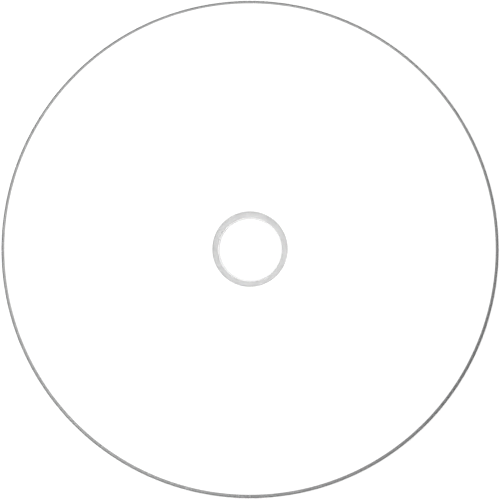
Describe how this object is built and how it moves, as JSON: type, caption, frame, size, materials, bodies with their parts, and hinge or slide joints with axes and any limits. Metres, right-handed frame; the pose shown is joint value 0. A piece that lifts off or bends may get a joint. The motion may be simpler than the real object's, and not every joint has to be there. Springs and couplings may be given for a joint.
{
  "type": "compact disc",
  "caption": "Thin round optical disc of clear plastic with a white printable face, a silver layer under it and a centre hole.",
  "frame": {"origin": "on the axis of the centre hole, in the plane of the stacking ring's crest that the disc lies on", "axes": "+Z along the axis of the hole, from the read side to the white face; +Y towards the top of the picture"},
  "size_m": [0.12, 0.12, 0.0014],
  "materials": {
    "clear_plastic": "polished",
    "silver": null,
    "white_coat": "matte"
  },
  "bodies": {
    "root": {"substrate": "clear_plastic", "reflective_layer": "silver", "printable_coat": "white_coat"}
  },
  "joints": []
}
